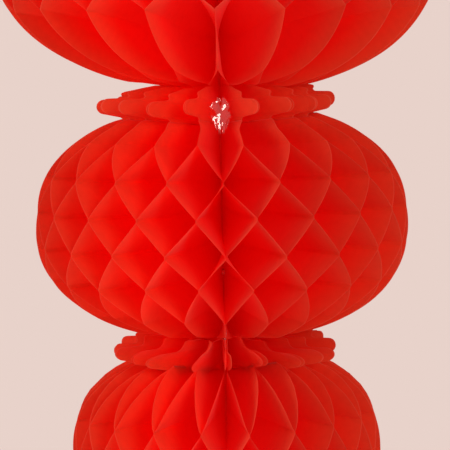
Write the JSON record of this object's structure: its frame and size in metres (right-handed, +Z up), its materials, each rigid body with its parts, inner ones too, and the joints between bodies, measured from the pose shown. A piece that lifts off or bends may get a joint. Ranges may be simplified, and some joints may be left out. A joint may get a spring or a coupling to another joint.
{
  "type": "hanging paper honeycomb decoration",
  "caption": "Tiered red tissue-paper honeycomb decoration that fans open round a spine and hangs from an eyelet.",
  "frame": {"origin": "centre of the hanging eyelet at the top; the decoration hangs down from it", "axes": "+Z up along the spine, -Y is the front, where the seam between the first and last leaves shows; +X to the right seen from the front"},
  "size_m": [0.3006, 0.3006, 0.5512],
  "materials": {
    "red_tissue": "matt dyed tissue paper",
    "card": "plain pressed card",
    "eyelet_metal": "polished, rolled",
    "cotton_thread": "twisted cotton",
    "glued_binding": "glued paper edge",
    "clear_tape": "clear glossy film",
    "clear_glue": "dried clear glue"
  },
  "bodies": {
    "spine": {"spine_binding": "glued_binding", "spine_thread": "cotton_thread", "hang_tab": "card", "hang_eyelet": "eyelet_metal", "bottom_button": "card", "seam_glue": "clear_glue", "leaf_01": "red_tissue"},
    "leaf_02": {"leaf_02": "red_tissue"},
    "leaf_03": {"leaf_03": "red_tissue"},
    "leaf_04": {"leaf_04": "red_tissue"},
    "leaf_05": {"leaf_05": "red_tissue"},
    "leaf_06": {"leaf_06": "red_tissue"},
    "leaf_07": {"leaf_07": "red_tissue"},
    "leaf_08": {"leaf_08": "red_tissue"},
    "leaf_09": {"leaf_09": "red_tissue"},
    "leaf_10": {"leaf_10": "red_tissue"},
    "leaf_11": {"leaf_11": "red_tissue"},
    "leaf_12": {"leaf_12": "red_tissue"},
    "leaf_13": {"leaf_13": "red_tissue"},
    "leaf_14": {"leaf_14": "red_tissue"},
    "leaf_15": {"leaf_15": "red_tissue"},
    "leaf_16": {"leaf_16": "red_tissue"},
    "leaf_17": {"leaf_17": "red_tissue"},
    "leaf_18": {"leaf_18": "red_tissue"},
    "leaf_19": {"leaf_19": "red_tissue"},
    "leaf_20": {"leaf_20": "red_tissue"},
    "leaf_21": {"leaf_21": "red_tissue"},
    "leaf_22": {"leaf_22": "red_tissue"},
    "leaf_23": {"leaf_23": "red_tissue"},
    "leaf_24": {"leaf_24": "red_tissue"},
    "leaf_25": {"leaf_25": "red_tissue"},
    "leaf_26": {"leaf_26": "red_tissue"},
    "leaf_27": {"leaf_27": "red_tissue"},
    "leaf_28": {"leaf_28": "red_tissue"},
    "leaf_29": {"leaf_29": "red_tissue"},
    "leaf_30": {"leaf_30": "red_tissue"},
    "leaf_31": {"leaf_31": "red_tissue"},
    "leaf_32": {"leaf_32": "red_tissue"},
    "leaf_33": {"leaf_33": "red_tissue"},
    "leaf_34": {"leaf_34": "red_tissue"},
    "leaf_35": {"leaf_35": "red_tissue"},
    "leaf_36": {"leaf_36": "red_tissue"},
    "leaf_37": {"leaf_37": "red_tissue"},
    "leaf_38": {"leaf_38": "red_tissue"},
    "leaf_39": {"leaf_39": "red_tissue"},
    "leaf_40": {"leaf_40": "red_tissue", "top_tape": "clear_tape", "neck_tape": "clear_tape", "waist_tape": "clear_tape"}
  },
  "joints": [
    {"name": "fan_02", "type": "hinge", "parent": "spine", "child": "leaf_02", "pos_m": [0, 0, 0], "axis": [0, 0, 1], "range_deg": [-8.7, 0], "deforming": ["leaf_02"]},
    {"name": "fan_03", "type": "hinge", "parent": "spine", "child": "leaf_03", "pos_m": [0, 0, 0], "axis": [0, 0, 1], "range_deg": [-17.39, 0], "deforming": ["leaf_03"]},
    {"name": "fan_04", "type": "hinge", "parent": "spine", "child": "leaf_04", "pos_m": [0, 0, 0], "axis": [0, 0, 1], "range_deg": [-26.09, 0], "deforming": ["leaf_04"]},
    {"name": "fan_05", "type": "hinge", "parent": "spine", "child": "leaf_05", "pos_m": [0, 0, 0], "axis": [0, 0, 1], "range_deg": [-34.78, 0], "deforming": ["leaf_05"]},
    {"name": "fan_06", "type": "hinge", "parent": "spine", "child": "leaf_06", "pos_m": [0, 0, 0], "axis": [0, 0, 1], "range_deg": [-43.47, 0], "deforming": ["leaf_06"]},
    {"name": "fan_07", "type": "hinge", "parent": "spine", "child": "leaf_07", "pos_m": [0, 0, 0], "axis": [0, 0, 1], "range_deg": [-52.16, 0], "deforming": ["leaf_07"]},
    {"name": "fan_08", "type": "hinge", "parent": "spine", "child": "leaf_08", "pos_m": [0, 0, 0], "axis": [0, 0, 1], "range_deg": [-60.86, 0], "deforming": ["leaf_08"]},
    {"name": "fan_09", "type": "hinge", "parent": "spine", "child": "leaf_09", "pos_m": [0, 0, 0], "axis": [0, 0, 1], "range_deg": [-69.55, 0], "deforming": ["leaf_09"]},
    {"name": "fan_10", "type": "hinge", "parent": "spine", "child": "leaf_10", "pos_m": [0, 0, 0], "axis": [0, 0, 1], "range_deg": [-78.24, 0], "deforming": ["leaf_10"]},
    {"name": "fan_11", "type": "hinge", "parent": "spine", "child": "leaf_11", "pos_m": [0, 0, 0], "axis": [0, 0, 1], "range_deg": [-86.93, 0], "deforming": ["leaf_11"]},
    {"name": "fan_12", "type": "hinge", "parent": "spine", "child": "leaf_12", "pos_m": [0, 0, 0], "axis": [0, 0, 1], "range_deg": [-95.63, 0], "deforming": ["leaf_12"]},
    {"name": "fan_13", "type": "hinge", "parent": "spine", "child": "leaf_13", "pos_m": [0, 0, 0], "axis": [0, 0, 1], "range_deg": [-104.32, 0], "deforming": ["leaf_13"]},
    {"name": "fan_14", "type": "hinge", "parent": "spine", "child": "leaf_14", "pos_m": [0, 0, 0], "axis": [0, 0, 1], "range_deg": [-113.01, 0], "deforming": ["leaf_14"]},
    {"name": "fan_15", "type": "hinge", "parent": "spine", "child": "leaf_15", "pos_m": [0, 0, 0], "axis": [0, 0, 1], "range_deg": [-121.7, 0], "deforming": ["leaf_15"]},
    {"name": "fan_16", "type": "hinge", "parent": "spine", "child": "leaf_16", "pos_m": [0, 0, 0], "axis": [0, 0, 1], "range_deg": [-130.39, 0], "deforming": ["leaf_16"]},
    {"name": "fan_17", "type": "hinge", "parent": "spine", "child": "leaf_17", "pos_m": [0, 0, 0], "axis": [0, 0, 1], "range_deg": [-139.09, 0], "deforming": ["leaf_17"]},
    {"name": "fan_18", "type": "hinge", "parent": "spine", "child": "leaf_18", "pos_m": [0, 0, 0], "axis": [0, 0, 1], "range_deg": [-147.78, 0], "deforming": ["leaf_18"]},
    {"name": "fan_19", "type": "hinge", "parent": "spine", "child": "leaf_19", "pos_m": [0, 0, 0], "axis": [0, 0, 1], "range_deg": [-156.47, 0], "deforming": ["leaf_19"]},
    {"name": "fan_20", "type": "hinge", "parent": "spine", "child": "leaf_20", "pos_m": [0, 0, 0], "axis": [0, 0, 1], "range_deg": [-165.16, 0], "deforming": ["leaf_20"]},
    {"name": "fan_21", "type": "hinge", "parent": "spine", "child": "leaf_21", "pos_m": [0, 0, 0], "axis": [0, 0, 1], "range_deg": [-173.86, 0], "deforming": ["leaf_21"]},
    {"name": "fan_22", "type": "hinge", "parent": "spine", "child": "leaf_22", "pos_m": [0, 0, 0], "axis": [0, 0, 1], "range_deg": [-182.55, 0], "deforming": ["leaf_22"]},
    {"name": "fan_23", "type": "hinge", "parent": "spine", "child": "leaf_23", "pos_m": [0, 0, 0], "axis": [0, 0, 1], "range_deg": [-191.24, 0], "deforming": ["leaf_23"]},
    {"name": "fan_24", "type": "hinge", "parent": "spine", "child": "leaf_24", "pos_m": [0, 0, 0], "axis": [0, 0, 1], "range_deg": [-199.93, 0], "deforming": ["leaf_24"]},
    {"name": "fan_25", "type": "hinge", "parent": "spine", "child": "leaf_25", "pos_m": [0, 0, 0], "axis": [0, 0, 1], "range_deg": [-208.63, 0], "deforming": ["leaf_25"]},
    {"name": "fan_26", "type": "hinge", "parent": "spine", "child": "leaf_26", "pos_m": [0, 0, 0], "axis": [0, 0, 1], "range_deg": [-217.32, 0], "deforming": ["leaf_26"]},
    {"name": "fan_27", "type": "hinge", "parent": "spine", "child": "leaf_27", "pos_m": [0, 0, 0], "axis": [0, 0, 1], "range_deg": [-226.01, 0], "deforming": ["leaf_27"]},
    {"name": "fan_28", "type": "hinge", "parent": "spine", "child": "leaf_28", "pos_m": [0, 0, 0], "axis": [0, 0, 1], "range_deg": [-234.7, 0], "deforming": ["leaf_28"]},
    {"name": "fan_29", "type": "hinge", "parent": "spine", "child": "leaf_29", "pos_m": [0, 0, 0], "axis": [0, 0, 1], "range_deg": [-243.39, 0], "deforming": ["leaf_29"]},
    {"name": "fan_30", "type": "hinge", "parent": "spine", "child": "leaf_30", "pos_m": [0, 0, 0], "axis": [0, 0, 1], "range_deg": [-252.09, 0], "deforming": ["leaf_30"]},
    {"name": "fan_31", "type": "hinge", "parent": "spine", "child": "leaf_31", "pos_m": [0, 0, 0], "axis": [0, 0, 1], "range_deg": [-260.78, 0], "deforming": ["leaf_31"]},
    {"name": "fan_32", "type": "hinge", "parent": "spine", "child": "leaf_32", "pos_m": [0, 0, 0], "axis": [0, 0, 1], "range_deg": [-269.47, 0], "deforming": ["leaf_32"]},
    {"name": "fan_33", "type": "hinge", "parent": "spine", "child": "leaf_33", "pos_m": [0, 0, 0], "axis": [0, 0, 1], "range_deg": [-278.16, 0], "deforming": ["leaf_33"]},
    {"name": "fan_34", "type": "hinge", "parent": "spine", "child": "leaf_34", "pos_m": [0, 0, 0], "axis": [0, 0, 1], "range_deg": [-286.86, 0], "deforming": ["leaf_34"]},
    {"name": "fan_35", "type": "hinge", "parent": "spine", "child": "leaf_35", "pos_m": [0, 0, 0], "axis": [0, 0, 1], "range_deg": [-295.55, 0], "deforming": ["leaf_35"]},
    {"name": "fan_36", "type": "hinge", "parent": "spine", "child": "leaf_36", "pos_m": [0, 0, 0], "axis": [0, 0, 1], "range_deg": [-304.24, 0], "deforming": ["leaf_36"]},
    {"name": "fan_37", "type": "hinge", "parent": "spine", "child": "leaf_37", "pos_m": [0, 0, 0], "axis": [0, 0, 1], "range_deg": [-312.93, 0], "deforming": ["leaf_37"]},
    {"name": "fan_38", "type": "hinge", "parent": "spine", "child": "leaf_38", "pos_m": [0, 0, 0], "axis": [0, 0, 1], "range_deg": [-321.63, 0], "deforming": ["leaf_38"]},
    {"name": "fan_39", "type": "hinge", "parent": "spine", "child": "leaf_39", "pos_m": [0, 0, 0], "axis": [0, 0, 1], "range_deg": [-330.32, 0], "deforming": ["leaf_39"]},
    {"name": "fan", "type": "hinge", "parent": "spine", "child": "leaf_40", "pos_m": [0, 0, 0], "axis": [0, 0, 1], "range_deg": [-339, 0], "deforming": ["leaf_40", "top_tape", "neck_tape", "waist_tape", "leaf_01"]}
  ],
  "couplings": [
    {"joint": "fan_02", "follows": "fan", "ratio": 0.025641},
    {"joint": "fan_03", "follows": "fan", "ratio": 0.051282},
    {"joint": "fan_04", "follows": "fan", "ratio": 0.076923},
    {"joint": "fan_05", "follows": "fan", "ratio": 0.10256},
    {"joint": "fan_06", "follows": "fan", "ratio": 0.12821},
    {"joint": "fan_07", "follows": "fan", "ratio": 0.15385},
    {"joint": "fan_08", "follows": "fan", "ratio": 0.17949},
    {"joint": "fan_09", "follows": "fan", "ratio": 0.20513},
    {"joint": "fan_10", "follows": "fan", "ratio": 0.23077},
    {"joint": "fan_11", "follows": "fan", "ratio": 0.25641},
    {"joint": "fan_12", "follows": "fan", "ratio": 0.28205},
    {"joint": "fan_13", "follows": "fan", "ratio": 0.30769},
    {"joint": "fan_14", "follows": "fan", "ratio": 0.33333},
    {"joint": "fan_15", "follows": "fan", "ratio": 0.35897},
    {"joint": "fan_16", "follows": "fan", "ratio": 0.38462},
    {"joint": "fan_17", "follows": "fan", "ratio": 0.41026},
    {"joint": "fan_18", "follows": "fan", "ratio": 0.4359},
    {"joint": "fan_19", "follows": "fan", "ratio": 0.46154},
    {"joint": "fan_20", "follows": "fan", "ratio": 0.48718},
    {"joint": "fan_21", "follows": "fan", "ratio": 0.51282},
    {"joint": "fan_22", "follows": "fan", "ratio": 0.53846},
    {"joint": "fan_23", "follows": "fan", "ratio": 0.5641},
    {"joint": "fan_24", "follows": "fan", "ratio": 0.58974},
    {"joint": "fan_25", "follows": "fan", "ratio": 0.61538},
    {"joint": "fan_26", "follows": "fan", "ratio": 0.64103},
    {"joint": "fan_27", "follows": "fan", "ratio": 0.66667},
    {"joint": "fan_28", "follows": "fan", "ratio": 0.69231},
    {"joint": "fan_29", "follows": "fan", "ratio": 0.71795},
    {"joint": "fan_30", "follows": "fan", "ratio": 0.74359},
    {"joint": "fan_31", "follows": "fan", "ratio": 0.76923},
    {"joint": "fan_32", "follows": "fan", "ratio": 0.79487},
    {"joint": "fan_33", "follows": "fan", "ratio": 0.82051},
    {"joint": "fan_34", "follows": "fan", "ratio": 0.84615},
    {"joint": "fan_35", "follows": "fan", "ratio": 0.87179},
    {"joint": "fan_36", "follows": "fan", "ratio": 0.89744},
    {"joint": "fan_37", "follows": "fan", "ratio": 0.92308},
    {"joint": "fan_38", "follows": "fan", "ratio": 0.94872},
    {"joint": "fan_39", "follows": "fan", "ratio": 0.97436}
  ]
}
